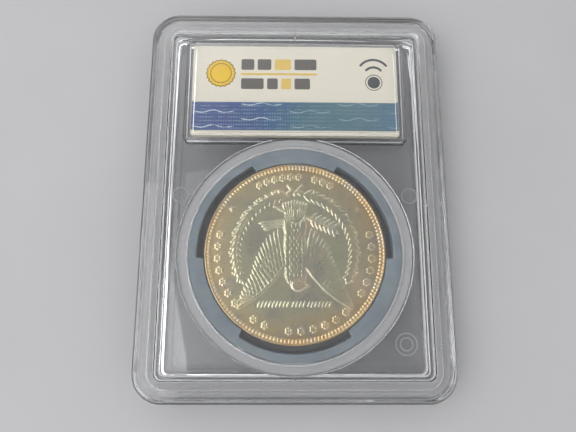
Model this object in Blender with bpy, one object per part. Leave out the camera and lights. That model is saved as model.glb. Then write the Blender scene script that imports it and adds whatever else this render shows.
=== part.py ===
"""A graded coin slab: two clear shells welded together round a coin in a pronged gasket and a label
that holds a wireless tag. It lies on its front face, with the back of the label and coin upwards.

X runs across the slab, Y towards the label and Z up through its thickness. The origin is the centre
of the resting face. Heights written "above the seam" are measured from the plane where the shells meet.
"""

import math

import bmesh
import bpy

MM = 0.001

# Driving dimensions, in millimetres.
SLAB_WIDTH = 64.4
SLAB_HEIGHT = 84.0
SLAB_THICKNESS = 8.0
SLAB_CORNER = 6.2
SEAM_HEIGHT = SLAB_THICKNESS / 2
SEAM_GAP = 0.1
COIN_DIAMETER = 38.1
COIN_THICKNESS = 2.4
COIN_CENTRE_Y = -12.0

# Steps of a shell, as insets from the slab's outer edge.
EDGE_ROUND = 1.0
RIDGE_OUTER = 2.35
RIDGE_INNER = 4.6
RIM_INNER = 2.1
WALL_INNER = 5.0
GROOVE_OUTER, GROOVE_INNER = 2.6, 4.4
TONGUE_CLEARANCE = 0.3
TONGUE_HEIGHT = 0.6
GROOVE_HEIGHT = 0.9
EASE = 0.2
DRAFT = 0.1

# Heights of a shell, above the seam.
OUTSIDE = SLAB_THICKNESS / 2
SHOULDER = OUTSIDE - 0.7
WINDOW_OUTSIDE = OUTSIDE - 1.0
WINDOW_INSIDE = 1.6
RIB_FOOT = 0.2
RIB_ROOT = 2.0

# The round well for the gasket and the fence round the label.
WELL_INNER_RADIUS = 22.7
WELL_OUTER_RADIUS = 24.9
FENCE_WALL = 0.6
POCKET_HALF_WIDTH = 23.9
POCKET_BOTTOM_Y = 13.0
POCKET_TOP_Y = 35.5
LEDGE_SIDE_WIDTH, LEDGE_BOTTOM_WIDTH = 1.5, 1.2
LEDGE_FOOT = 1.0
WALL_OVERLAP = 0.7

# The gasket grips the coin at three prongs, 120 degrees apart, and stands clear of it between them.
GASKET_RADIUS = WELL_INNER_RADIUS - 0.3
GASKET_THICKNESS = 2.6
PRONG_RADIUS = COIN_DIAMETER / 2 + 0.3
GAP_RADIUS = 20.6
PRONG_ANGLES = (90, 210, 330)
PRONG_HALF_ANGLE = 26

# The label is two printed cards with the tag between them.
CARD_WIDTH, CARD_HEIGHT, CARD_THICKNESS = 46.2, 21.6, 0.3
CARD_CENTRE = (0.0, 24.4)
CARD_FOOT = 0.4
CARD_CORNER = 0.5
STRIP_HEIGHT, STRIP_THICKNESS, STRIP_BOTTOM_Y = 6.6, 0.06, 14.9
STRIP_LIFT = 0.1
FILM_WIDTH, FILM_HEIGHT, FILM_THICKNESS = 42.0, 18.0, 0.12
COIL_WIDTH, COIL_HEIGHT, COIL_THICKNESS = 39.0, 15.0, 0.06
COIL_LIFT = 0.06
COIL_TURNS, COIL_TRACE, COIL_PITCH = 4, 0.6, 1.1
CHIP_SIZE, CHIP_THICKNESS, CHIP_INSET = 1.4, 0.2, 1.5

# How many straight pieces stand for each arc.
CORNER_STEPS = 10
EDGE_STEPS = 4
ROUND_STEPS = 96
PRONG_STEPS, GAP_STEPS = 12, 16


def clear_scene():
    for thing in list(bpy.data.objects):
        bpy.data.objects.remove(thing)


def make_material(name, colour, roughness, metallic=0.0, transmission=0.0, ior=1.5):
    material = bpy.data.materials.new(name)
    material.use_nodes = True
    shader = material.node_tree.nodes["Principled BSDF"]
    shader.inputs["Base Color"].default_value = (*colour, 1.0)
    shader.inputs["Roughness"].default_value = roughness
    shader.inputs["Metallic"].default_value = metallic
    shader.inputs["Transmission Weight"].default_value = transmission
    shader.inputs["IOR"].default_value = ior
    return material


def make_object(name, mesh_builder, material=None):
    """Turns a filled bmesh, in millimetres from the seam plane, into an object standing on Z 0."""
    for vertex in mesh_builder.verts:
        vertex.co = (
            vertex.co.x * MM,
            vertex.co.y * MM,
            (vertex.co.z + SEAM_HEIGHT) * MM,
        )
    bmesh.ops.recalc_face_normals(mesh_builder, faces=mesh_builder.faces)
    mesh = bpy.data.meshes.new(name)
    mesh_builder.to_mesh(mesh)
    mesh_builder.free()
    thing = bpy.data.objects.new(name, mesh)
    bpy.context.scene.collection.objects.link(thing)
    if material:
        mesh.materials.append(material)
    mesh.shade_smooth()
    mesh.set_sharp_from_angle(angle=math.radians(25))
    return thing


def loft(loops, closed=False):
    """A solid skinned over loops of equally many points. Open ends are capped; closed makes a ring."""
    builder = bmesh.new()
    rows = [[builder.verts.new(point) for point in loop] for loop in loops]
    pairs = list(zip(rows, rows[1:]))
    if closed:
        pairs.append((rows[-1], rows[0]))
    for first, second in pairs:
        count = len(first)
        for i in range(count):
            j = (i + 1) % count
            builder.faces.new((first[i], first[j], second[j], second[i]))
    if not closed:
        builder.faces.new(rows[0])
        builder.faces.new(rows[-1])
    return builder


def rounded_rectangle(width, height, corner, z, centre=(0.0, 0.0), steps=CORNER_STEPS):
    """Points round a rectangle with arcs at its corners, counter-clockwise from the right."""
    points = []
    for quarter in range(4):
        side_x = 1 if quarter in (0, 3) else -1
        side_y = 1 if quarter in (0, 1) else -1
        for step in range(steps + 1):
            angle = math.radians(90 * (quarter + step / steps))
            x = centre[0] + side_x * (width / 2 - corner) + corner * math.cos(angle)
            y = centre[1] + side_y * (height / 2 - corner) + corner * math.sin(angle)
            points.append((x, y, z))
    return points


def circle(radius, z, centre=(0.0, COIN_CENTRE_Y)):
    turns = [2 * math.pi * step / ROUND_STEPS for step in range(ROUND_STEPS)]
    return [(centre[0] + radius * math.cos(a), centre[1] + radius * math.sin(a), z) for a in turns]


def slab_loop(inset, height):
    """The slab's outline moved inwards by an inset, keeping a small round in its corners."""
    smallest_corner = 0.8
    corner = max(SLAB_CORNER - inset, smallest_corner)
    return rounded_rectangle(
        SLAB_WIDTH - 2 * inset, SLAB_HEIGHT - 2 * inset, corner, height
    )


def edge_round(side):
    """The rounded outer edge, from the side wall up to the shoulder or rim, as inset and height."""
    top = SHOULDER if side > 0 else OUTSIDE
    turns = [math.radians(90 * step / EDGE_STEPS) for step in range(EDGE_STEPS + 1)]
    return [
        (EDGE_ROUND * (1 - math.cos(a)), top - EDGE_ROUND * (1 - math.sin(a)))
        for a in turns
    ]


def rear_profile():
    """Inset and height of the rear shell's section: window, raised ridge, shoulder, wall, weld groove."""
    seam = SEAM_GAP / 2
    outer = [
        (RIDGE_INNER + 3 * EASE, WINDOW_OUTSIDE),
        (RIDGE_INNER + EASE, WINDOW_OUTSIDE + DRAFT),
        (RIDGE_INNER, OUTSIDE - EASE),
        (RIDGE_INNER - EASE, OUTSIDE),
        (RIDGE_OUTER + EASE, OUTSIDE),
        (RIDGE_OUTER, OUTSIDE - EASE),
        (RIDGE_OUTER - DRAFT, SHOULDER),
    ]
    inner = [
        (0.0, seam),
        (GROOVE_OUTER, seam),
        (GROOVE_OUTER + DRAFT, GROOVE_HEIGHT),
        (GROOVE_INNER - DRAFT, GROOVE_HEIGHT),
        (GROOVE_INNER, seam),
        (WALL_INNER, seam),
        (WALL_INNER + 3 * DRAFT, WINDOW_INSIDE),
    ]
    return outer + edge_round(1)[::-1] + inner


def front_profile():
    """Inset and height of the front shell's section: window, outer rim, wall, weld tongue."""
    seam = SEAM_GAP / 2
    outer = [
        (RIM_INNER + 3 * EASE, WINDOW_OUTSIDE),
        (RIM_INNER + EASE, WINDOW_OUTSIDE + DRAFT),
        (RIM_INNER, OUTSIDE - EASE),
        (RIM_INNER - EASE, OUTSIDE),
    ]
    tongue_outer = GROOVE_OUTER + TONGUE_CLEARANCE
    tongue_inner = GROOVE_INNER - TONGUE_CLEARANCE
    inner = [
        (0.0, seam),
        (tongue_outer, seam),
        (tongue_outer + DRAFT, -TONGUE_HEIGHT),
        (tongue_inner - DRAFT, -TONGUE_HEIGHT),
        (tongue_inner, seam),
        (WALL_INNER, seam),
        (WALL_INNER + 3 * DRAFT, WINDOW_INSIDE),
    ]
    return outer + edge_round(-1)[::-1] + inner


def make_helper(name, builder, target):
    """A hidden solid that a Boolean joins to its target."""
    helper = make_object(name, builder)
    helper.hide_render = True
    helper.display_type = "WIRE"
    union = target.modifiers.new(name, "BOOLEAN")
    union.operation = "UNION"
    union.object = helper
    return helper


def fence_outline(outer_half, inner_half, outer_bottom, inner_bottom, z):
    """A U that opens towards the top wall, which it runs into."""
    top = SLAB_HEIGHT / 2 - WALL_INNER + WALL_OVERLAP
    corners = [
        (-outer_half, top),
        (-outer_half, outer_bottom),
        (outer_half, outer_bottom),
        (outer_half, top),
        (inner_half, top),
        (inner_half, inner_bottom),
        (-inner_half, inner_bottom),
        (-inner_half, top),
    ]
    return [(x, y, z) for x, y in corners]


def add_ribs(shell, side, word):
    """The gasket's well, the label's fence and top stop, and the ledge that holds the label down."""
    foot, root = side * RIB_FOOT, side * RIB_ROOT
    chamfer = 0.25
    well = [
        circle(WELL_INNER_RADIUS, root),
        circle(WELL_INNER_RADIUS, foot + side * chamfer),
        circle(WELL_INNER_RADIUS + chamfer, foot),
        circle(WELL_OUTER_RADIUS - chamfer, foot),
        circle(WELL_OUTER_RADIUS, foot + side * chamfer),
        circle(WELL_OUTER_RADIUS, root),
    ]
    make_helper(f"{word}_gasket_well", loft(well, closed=True), shell)

    outer_half = POCKET_HALF_WIDTH + FENCE_WALL
    outer_bottom = POCKET_BOTTOM_Y - FENCE_WALL
    fence = [
        fence_outline(outer_half, POCKET_HALF_WIDTH, outer_bottom, POCKET_BOTTOM_Y, z)
        for z in (foot, root)
    ]
    make_helper(f"{word}_label_fence", loft(fence), shell)

    ledge_root = root + side * DRAFT
    ledge_half = POCKET_HALF_WIDTH - LEDGE_SIDE_WIDTH
    ledge_bottom = POCKET_BOTTOM_Y + LEDGE_BOTTOM_WIDTH
    middle_half = POCKET_HALF_WIDTH + FENCE_WALL / 2
    middle_bottom = POCKET_BOTTOM_Y - FENCE_WALL / 2
    ledge = [
        fence_outline(middle_half, ledge_half, middle_bottom, ledge_bottom, z)
        for z in (side * LEDGE_FOOT, ledge_root)
    ]
    make_helper(f"{word}_label_ledge", loft(ledge), shell)

    stop_top = SLAB_HEIGHT / 2 - WALL_INNER + WALL_OVERLAP / 2
    stop_corners = [
        (-middle_half, POCKET_TOP_Y),
        (middle_half, POCKET_TOP_Y),
        (middle_half, stop_top),
        (-middle_half, stop_top),
    ]
    stop = [[(x, y, z) for x, y in stop_corners] for z in (foot + side * DRAFT, root)]
    make_helper(f"{word}_label_stop", loft(stop), shell)


def make_shells(clear_plastic):
    for word, side, profile in (("rear", 1, rear_profile()), ("front", -1, front_profile())):
        loops = [slab_loop(inset, side * height) for inset, height in profile]
        shell = make_object(f"{word}_shell", loft(loops), clear_plastic)
        add_ribs(shell, side, word)


def make_coin(silver):
    """A struck coin: a sunk field inside a raised rim on each face."""
    half = COIN_THICKNESS / 2
    edge = COIN_DIAMETER / 2
    face = [
        (edge - 1.7, half - 0.25),
        (edge - 1.3, half),
        (edge - 0.15, half),
        (edge, half - 0.12),
    ]
    profile = face + [(radius, -z) for radius, z in reversed(face)]
    make_object("coin", loft([circle(radius, z) for radius, z in profile]), silver)


def gasket_angles():
    """Angles round the gasket with its inner radius at each, close together at the prongs' ends."""
    step_angle = 0.5
    prong_angle = 2 * PRONG_HALF_ANGLE
    gap_angle = 360 / len(PRONG_ANGLES) - prong_angle - 2 * step_angle
    stops = []
    for prong in PRONG_ANGLES:
        start = prong - PRONG_HALF_ANGLE
        for step in range(PRONG_STEPS + 1):
            stops.append((start + prong_angle * step / PRONG_STEPS, PRONG_RADIUS))
        gap_start = start + prong_angle + step_angle
        for step in range(GAP_STEPS + 1):
            stops.append((gap_start + gap_angle * step / GAP_STEPS, GAP_RADIUS))
    return stops


def make_gasket(milky_rubber):
    half = GASKET_THICKNESS / 2
    chamfer = 0.2
    stops = gasket_angles()

    def loop(radius_at, z):
        points = []
        for angle, inner in stops:
            radius = radius_at(inner)
            x = radius * math.cos(math.radians(angle))
            y = COIN_CENTRE_Y + radius * math.sin(math.radians(angle))
            points.append((x, y, z))
        return points

    section = [
        (lambda inner: GASKET_RADIUS - chamfer, -half),
        (lambda inner: GASKET_RADIUS, chamfer - half),
        (lambda inner: GASKET_RADIUS, half - chamfer),
        (lambda inner: GASKET_RADIUS - chamfer, half),
        (lambda inner: inner + chamfer, half),
        (lambda inner: inner, half - chamfer),
        (lambda inner: inner, chamfer - half),
        (lambda inner: inner + chamfer, -half),
    ]
    loops = [loop(radius_at, z) for radius_at, z in section]
    make_object("coin_gasket", loft(loops, closed=True), milky_rubber)


def plate(name, width, height, thickness, foot, centre, corner, material):
    """A thin flat piece with round corners, its lower face at foot above the seam."""
    loops = [
        rounded_rectangle(width, height, corner, z, centre, EDGE_STEPS)
        for z in (foot, foot + thickness)
    ]
    return make_object(name, loft(loops), material)


def spiral_centreline():
    """Corners of a rectangular spiral that winds inwards."""
    points = []
    for turn in range(COIL_TURNS):
        half_x = COIL_WIDTH / 2 - turn * COIL_PITCH
        half_y = COIL_HEIGHT / 2 - turn * COIL_PITCH
        points += [
            (half_x, -half_y + (COIL_PITCH if turn == 0 else 0)),
            (half_x, half_y),
            (-half_x, half_y),
            (-half_x, -half_y),
            (half_x - COIL_PITCH, -half_y),
        ]
    return points


def trace_edges(points, width):
    """Left and right edges of a mitred track along a path of right-angled corners."""
    left, right = [], []
    for i, (x, y) in enumerate(points):
        before = points[i - 1] if i else None
        after = points[i + 1] if i + 1 < len(points) else None
        offset_x = offset_y = 0.0
        for start, end in ((before, (x, y)), ((x, y), after)):
            if start is None or end is None:
                continue
            dx, dy = end[0] - start[0], end[1] - start[1]
            length = math.hypot(dx, dy)
            if abs(dx) > abs(dy):
                offset_y = math.copysign(width / 2, dx / length)
            else:
                offset_x = -math.copysign(width / 2, dy / length)
        left.append((x + offset_x, y + offset_y))
        right.append((x - offset_x, y - offset_y))
    return left, right


def make_antenna(foil):
    foot = FILM_THICKNESS / 2 + COIL_LIFT
    left, right = trace_edges(spiral_centreline(), COIL_TRACE)
    centre_x, centre_y = CARD_CENTRE

    def place(point, z):
        return (point[0] + centre_x, point[1] + centre_y, z)

    sections = []
    for a, b in zip(left, right):
        top = foot + COIL_THICKNESS
        sections.append([place(a, foot), place(b, foot), place(b, top), place(a, top)])
    make_object("tag_antenna", loft(sections), foil)


def make_chip(black_epoxy):
    """The tag's chip, inside the innermost turn, near the antenna's inner end."""
    inward = (COIL_TURNS - 1) * COIL_PITCH + COIL_TRACE + CHIP_SIZE
    centre = (CARD_CENTRE[0] + COIL_WIDTH / 2 - inward - CHIP_INSET, CARD_CENTRE[1])
    foot = FILM_THICKNESS / 2 + COIL_LIFT
    plate("tag_chip", CHIP_SIZE, CHIP_SIZE, CHIP_THICKNESS, foot, centre, 0.15, black_epoxy)


def make_label(materials):
    rear_top = CARD_FOOT + CARD_THICKNESS
    card = (CARD_WIDTH, CARD_HEIGHT, CARD_THICKNESS)
    plate("label_rear_card", *card, CARD_FOOT, CARD_CENTRE, CARD_CORNER, materials["card"])
    plate("label_front_card", *card, -rear_top, CARD_CENTRE, CARD_CORNER, materials["card"])
    strip_centre = (CARD_CENTRE[0], STRIP_BOTTOM_Y + STRIP_HEIGHT / 2)
    plate(
        "security_strip",
        CARD_WIDTH - 0.2,
        STRIP_HEIGHT,
        STRIP_THICKNESS,
        rear_top + STRIP_LIFT,
        strip_centre,
        0.05,
        materials["strip"],
    )
    plate(
        "tag_film",
        FILM_WIDTH,
        FILM_HEIGHT,
        FILM_THICKNESS,
        -FILM_THICKNESS / 2,
        CARD_CENTRE,
        1.0,
        materials["film"],
    )
    make_antenna(materials["foil"])
    make_chip(materials["chip"])


def main():
    clear_scene()
    materials = {
        "clear": make_material("clear_polystyrene", (0.96, 0.97, 0.98), 0.03, 0.0, 1.0, 1.59),
        "gasket": make_material("milky_gasket", (0.50, 0.56, 0.60), 0.4),
        "silver": make_material("silver", (0.72, 0.69, 0.60), 0.25, 1.0),
        "card": make_material("printed_card", (0.88, 0.85, 0.78), 0.55),
        "strip": make_material("security_foil", (0.16, 0.29, 0.40), 0.35),
        "film": make_material("tag_film", (0.85, 0.86, 0.84), 0.2),
        "foil": make_material("antenna_foil", (0.80, 0.81, 0.82), 0.3, 1.0),
        "chip": make_material("chip_epoxy", (0.03, 0.03, 0.035), 0.5),
    }
    make_shells(materials["clear"])
    make_coin(materials["silver"])
    make_gasket(materials["gasket"])
    make_label(materials)


main()
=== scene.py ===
"""Looks of the graded coin slab: fine clear shells, a struck coin in its gasket, and the printed label.

Lengths are in millimetres until make_object turns them into metres. Heights are measured from the seam,
the plane where the two shells meet, and (x, y) from the middle of the slab. The coin's faces are drawn
in their own frames, (u, v) from the coin's centre, upright on each face.
"""

import math

import bmesh
import bpy
import numpy as np
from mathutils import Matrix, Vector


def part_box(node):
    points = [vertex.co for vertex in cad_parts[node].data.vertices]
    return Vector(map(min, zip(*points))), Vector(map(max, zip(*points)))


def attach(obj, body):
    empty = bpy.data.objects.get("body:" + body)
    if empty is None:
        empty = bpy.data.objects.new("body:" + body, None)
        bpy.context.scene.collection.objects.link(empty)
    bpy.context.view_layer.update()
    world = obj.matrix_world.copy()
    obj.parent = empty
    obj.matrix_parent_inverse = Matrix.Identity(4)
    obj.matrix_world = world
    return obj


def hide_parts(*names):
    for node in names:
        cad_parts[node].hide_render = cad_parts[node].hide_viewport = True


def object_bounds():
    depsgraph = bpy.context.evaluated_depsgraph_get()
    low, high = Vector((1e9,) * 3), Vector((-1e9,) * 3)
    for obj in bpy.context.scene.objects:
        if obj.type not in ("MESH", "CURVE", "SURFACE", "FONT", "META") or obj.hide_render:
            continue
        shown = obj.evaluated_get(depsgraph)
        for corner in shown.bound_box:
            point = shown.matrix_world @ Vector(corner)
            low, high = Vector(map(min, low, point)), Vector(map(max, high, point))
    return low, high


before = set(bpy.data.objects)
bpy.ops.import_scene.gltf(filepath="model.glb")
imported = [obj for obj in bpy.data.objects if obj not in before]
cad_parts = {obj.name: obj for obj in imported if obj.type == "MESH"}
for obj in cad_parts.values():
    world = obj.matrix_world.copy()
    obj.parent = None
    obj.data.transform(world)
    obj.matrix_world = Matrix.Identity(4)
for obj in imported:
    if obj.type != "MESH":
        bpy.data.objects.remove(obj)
cad_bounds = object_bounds()

M_TO_MM = 1000.0
ROOT = "root"


def box_mm(node):
    low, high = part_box(node)
    return low * M_TO_MM, high * M_TO_MM


SLAB_LOW, SLAB_HIGH = (corner * M_TO_MM for corner in cad_bounds)
SLAB_WIDTH = SLAB_HIGH.x - SLAB_LOW.x
SLAB_HEIGHT = SLAB_HIGH.y - SLAB_LOW.y
SEAM_Z = (SLAB_HIGH.z + SLAB_LOW.z) / 2
OUTSIDE = SLAB_HIGH.z - SEAM_Z

COIN_LOW, COIN_HIGH = box_mm("coin")
COIN_X, COIN_Y = (COIN_LOW.x + COIN_HIGH.x) / 2, (COIN_LOW.y + COIN_HIGH.y) / 2
COIN_RADIUS = (COIN_HIGH.x - COIN_LOW.x) / 2
COIN_HALF = (COIN_HIGH.z - COIN_LOW.z) / 2

GASKET_LOW, GASKET_HIGH = box_mm("coin_gasket")
GASKET_RADIUS = (GASKET_HIGH.x - GASKET_LOW.x) / 2
GASKET_HALF = (GASKET_HIGH.z - GASKET_LOW.z) / 2

CARD_LOW, CARD_HIGH = box_mm("label_rear_card")

# Steps of a shell, as insets from the outline and heights above the seam.
SLAB_CORNER = 6.2
EDGE_ROUND = 1.0
RIDGE_OUTER, RIDGE_INNER, RIM_INNER = 2.35, 4.6, 2.1
GROOVE_OUTER, GROOVE_INNER = 2.6, 4.4
TONGUE_OUTER, TONGUE_INNER = 2.9, 4.1
GROOVE_HEIGHT, TONGUE_HEIGHT = 0.9, 0.6
LAND_OUTER = 1.3
WALL_INNER = 5.0
SHOULDER = OUTSIDE - 0.7
WINDOW_OUTSIDE = OUTSIDE - 1.0
WINDOW_INSIDE = 1.6
SEAM_HALF_GAP = 0.05
EDGE_FILLET = 0.2
WINDOW_FILLET = 0.4

# The round well and the label's fence and ledge.
WELL_INNER, WELL_OUTER = GASKET_RADIUS + 0.3, 24.9
RIB_FOOT, RIB_ROOT = 0.2, 2.0
FENCE_WALL, FENCE_HALF = 0.6, 23.9
FENCE_BOTTOM, FENCE_TOP = 13.0, 35.5
LEDGE_SIDE, LEDGE_BOTTOM, LEDGE_FOOT = 1.5, 1.2, 1.0
FENCE_INTO_WALL, STOP_INTO_WALL, STOP_EASE = 0.7, 0.35, 0.1

# Marks of the mould: ejector pins at the sides, a plain double ring in a corner of the window, and gates.
PIN_X, PIN_RADIUS = 24.4, 1.5
WINDOW_MARK, WINDOW_MARK_RADII, WINDOW_MARK_WIDTH = (22.4, -30.6), (2.0, 1.1), 0.3
REAR_GATE, FRONT_GATE = RIDGE_INNER + 0.7, RIM_INNER + 0.3


# ---------------------------------------------------------------- meshes


def make_object(name, builder, materials, slot, replaced=None, smooth_angle=30):
    """Turns a bmesh in millimetres, with heights above the seam, into a piece of the slab."""
    for vertex in builder.verts:
        x, y, z = vertex.co
        vertex.co = (x / M_TO_MM, y / M_TO_MM, (z + SEAM_Z) / M_TO_MM)
    bmesh.ops.recalc_face_normals(builder, faces=builder.faces)
    mesh = bpy.data.meshes.new(name)
    builder.to_mesh(mesh)
    builder.free()
    mesh.shade_smooth()
    mesh.set_sharp_from_angle(angle=math.radians(smooth_angle))
    piece = bpy.data.objects.new(name, mesh)
    bpy.context.scene.collection.objects.link(piece)
    for material in materials:
        mesh.materials.append(material)
    if slot:
        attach(piece, ROOT)
    if replaced:
        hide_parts(replaced)
    return piece


def loft(loops, closed=False, band_materials=None):
    """A solid skinned over loops of equally many points. band_materials gives each band's slot."""
    builder = bmesh.new()
    rows = [[builder.verts.new(point) for point in loop] for loop in loops]
    pairs = list(zip(rows, rows[1:]))
    if closed:
        pairs.append((rows[-1], rows[0]))
    for band, (first, second) in enumerate(pairs):
        for i in range(len(first)):
            j = (i + 1) % len(first)
            face = builder.faces.new((first[i], first[j], second[j], second[i]))
            if band_materials:
                face.material_index = band_materials[band]
    if not closed:
        builder.faces.new(rows[0])
        builder.faces.new(rows[-1])
    return builder


def rounded_rectangle(width, height, corner, z, centre=(0.0, 0.0), steps=24):
    points = []
    for quarter in range(4):
        side_x = 1 if quarter in (0, 3) else -1
        side_y = 1 if quarter in (0, 1) else -1
        for step in range(steps + 1):
            angle = math.radians(90 * (quarter + step / steps))
            x = centre[0] + side_x * (width / 2 - corner) + corner * math.cos(angle)
            y = centre[1] + side_y * (height / 2 - corner) + corner * math.sin(angle)
            points.append((x, y, z))
    return points


def circle(radius, z, centre=None, steps=288):
    x, y = centre or (COIN_X, COIN_Y)
    turns = [2 * math.pi * step / steps for step in range(steps)]
    return [(x + radius * math.cos(a), y + radius * math.sin(a), z) for a in turns]


def fillet(centre, radius, start, end, steps=5):
    """Points of an arc in a section, with its angles in degrees."""
    turns = [math.radians(start + (end - start) * step / steps) for step in range(steps + 1)]
    return [(centre[0] + radius * math.cos(a), centre[1] + radius * math.sin(a)) for a in turns]


def slab_loop(inset, height):
    corner = max(SLAB_CORNER - inset, 0.8)
    return rounded_rectangle(SLAB_WIDTH - 2 * inset, SLAB_HEIGHT - 2 * inset, corner, height)


# ---------------------------------------------------------------- shells

CLEAR, FROSTED, SATIN = 0, 1, 2


def rear_section():
    """Inset and height of the rear shell's outer face, from its window out to its side wall."""
    f, w = EDGE_FILLET, WINDOW_FILLET
    points = fillet((RIDGE_INNER + w + 0.05, WINDOW_OUTSIDE + w), w, -90, -180)
    points += fillet((RIDGE_INNER - f, OUTSIDE - f), f, 0, 90)
    points += fillet((RIDGE_OUTER + f, OUTSIDE - f), f, 90, 180)
    points += fillet((RIDGE_OUTER - f - 0.05, SHOULDER + f), f, 0, -90)
    points += fillet((EDGE_ROUND, SHOULDER - EDGE_ROUND), EDGE_ROUND, 90, 180, 8)
    return points


def front_section():
    """The same of the front shell, whose rim is the slab's outer border."""
    f, w = EDGE_FILLET, WINDOW_FILLET
    points = fillet((RIM_INNER + w + 0.05, WINDOW_OUTSIDE + w), w, -90, -180)
    points += fillet((RIM_INNER - f, OUTSIDE - f), f, 0, 90)
    points += fillet((EDGE_ROUND, OUTSIDE - EDGE_ROUND), EDGE_ROUND, 90, 180, 8)
    return points


def weld_section(outer, inner, height):
    """Seam face with its weld groove or tongue, then the cavity's wall up to the window."""
    seam, ease, draft = SEAM_HALF_GAP, 0.08, 0.08
    step = math.copysign(ease, height)
    clear = [(0.0, seam + ease), (ease, seam), (LAND_OUTER, seam)]
    frosted = [(outer, seam), (outer + draft, height - step)]
    frosted += [(outer + draft + ease, height), (inner - draft - ease, height)]
    rest = [
        (inner - draft, height - step),
        (inner, seam),
        (WALL_INNER - 0.15, seam),
        (WALL_INNER, seam + 0.15),
        (WALL_INNER + 0.2, WINDOW_INSIDE - 0.3),
        (WALL_INNER + 0.5, WINDOW_INSIDE),
    ]
    return clear, frosted, rest


def join(target, builder):
    """Joins a rib to a shell for good."""
    rib = make_object("rib", builder, target.data.materials[:], None)
    union = target.modifiers.new("rib", "BOOLEAN")
    union.operation = "UNION"
    union.object = rib
    graph = bpy.context.evaluated_depsgraph_get()
    joined = bpy.data.meshes.new_from_object(target.evaluated_get(graph))
    target.modifiers.clear()
    target.data = joined
    bpy.data.objects.remove(rib)


def well_rib(side):
    foot, root, ease = RIB_FOOT, RIB_ROOT, 0.25
    section = [(WELL_INNER, root), (WELL_INNER, foot + ease), (WELL_INNER + ease, foot)]
    section += [(WELL_OUTER - ease, foot), (WELL_OUTER, foot + ease), (WELL_OUTER, root)]
    bands = [CLEAR, CLEAR, SATIN, CLEAR, CLEAR, CLEAR]
    return loft([circle(r, side * z) for r, z in section], True, bands)


def fence_rib(side, outer, inner, outer_bottom, inner_bottom, foot, root):
    """A U round the label, open towards the top wall, which it runs into."""
    top = SLAB_HEIGHT / 2 - WALL_INNER + FENCE_INTO_WALL
    corners = [(-outer, top), (-outer, outer_bottom), (outer, outer_bottom), (outer, top)]
    corners += [(inner, top), (inner, inner_bottom), (-inner, inner_bottom), (-inner, top)]
    return loft([[(x, y, side * z) for x, y in corners] for z in (foot, root)])


def label_stop(side):
    """A bar between the label's top edge and the top wall."""
    half = FENCE_HALF + FENCE_WALL / 2
    top = SLAB_HEIGHT / 2 - WALL_INNER + STOP_INTO_WALL
    corners = [(-half, FENCE_TOP), (half, FENCE_TOP), (half, top), (-half, top)]
    return loft([[(x, y, side * z) for x, y in corners] for z in (RIB_FOOT + STOP_EASE, RIB_ROOT)])


def mould_ring(side, place, radius, width=0.2, depth=0.12):
    """A thin raised ring on the inside of a window, as an ejector pin leaves it."""
    low, high = WINDOW_INSIDE - depth, WINDOW_INSIDE + 0.2
    section = [(radius, high), (radius, low), (radius + width, low), (radius + width, high)]
    bands = [CLEAR, FROSTED, CLEAR, CLEAR]
    return loft([circle(r, side * z, place, 64) for r, z in section], True, bands)


def gate_mark(side, inset, sign):
    """A small upright nib where the ridge meets the window, at the middle of an end."""
    middle = sign * (SLAB_HEIGHT / 2 - inset)
    half_width, half_length = 0.16, 0.6
    low, high = WINDOW_OUTSIDE - 0.2, OUTSIDE - 0.25
    corners = [(-half_width, -1), (half_width, -1), (half_width, 1), (-half_width, 1)]
    loops = [[(x, middle + end * half_length, side * z) for x, end in corners] for z in (low, high)]
    return loft(loops, False, [FROSTED])


def make_shell(node, side, outer_section, weld, materials):
    """One shell: its section lofted round the outline, with its ribs joined on."""
    clear, frosted, rest = weld_section(*weld)
    section = outer_section + clear + frosted + rest
    bands = [CLEAR] * (len(section) - 1)
    first = len(outer_section) + len(clear) - 1
    for band in range(first, first + len(frosted) + 1):
        bands[band] = FROSTED
    loops = [slab_loop(inset, side * height) for inset, height in section]
    builder = loft(loops, False, bands)
    shell = make_object(f"{node}_clear", builder, materials, "clear_plastic", node)
    join(shell, well_rib(side))
    outer, bottom = FENCE_HALF + FENCE_WALL, FENCE_BOTTOM - FENCE_WALL
    join(shell, fence_rib(side, outer, FENCE_HALF, bottom, FENCE_BOTTOM, RIB_FOOT, RIB_ROOT))
    middle, low = FENCE_HALF + FENCE_WALL / 2, FENCE_BOTTOM - FENCE_WALL / 2
    inner, ledge = FENCE_HALF - LEDGE_SIDE, FENCE_BOTTOM + LEDGE_BOTTOM
    join(shell, fence_rib(side, middle, inner, low, ledge, LEDGE_FOOT, RIB_ROOT + 0.1))
    join(shell, label_stop(side))
    if side > 0:
        for x in (-PIN_X, PIN_X):
            join(shell, mould_ring(side, (x, 0.0), PIN_RADIUS))
        for radius in WINDOW_MARK_RADII:
            join(shell, mould_ring(side, WINDOW_MARK, radius, WINDOW_MARK_WIDTH))
    for sign in (-1, 1):
        join(shell, gate_mark(side, REAR_GATE if side > 0 else FRONT_GATE, sign))
    shell.data.shade_smooth()
    shell.data.set_sharp_from_angle(angle=math.radians(30))
    return shell


# ---------------------------------------------------------------- gasket

PRONGS = (90, 210, 330)
PRONG_HALF_ANGLE = 26
PRONG_RADIUS = COIN_RADIUS + 0.12
GAP_RADIUS = 20.6


def smooth_step(low, high, value):
    t = np.clip((value - low) / (high - low), 0, 1)
    return t * t * (3 - 2 * t)


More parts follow.
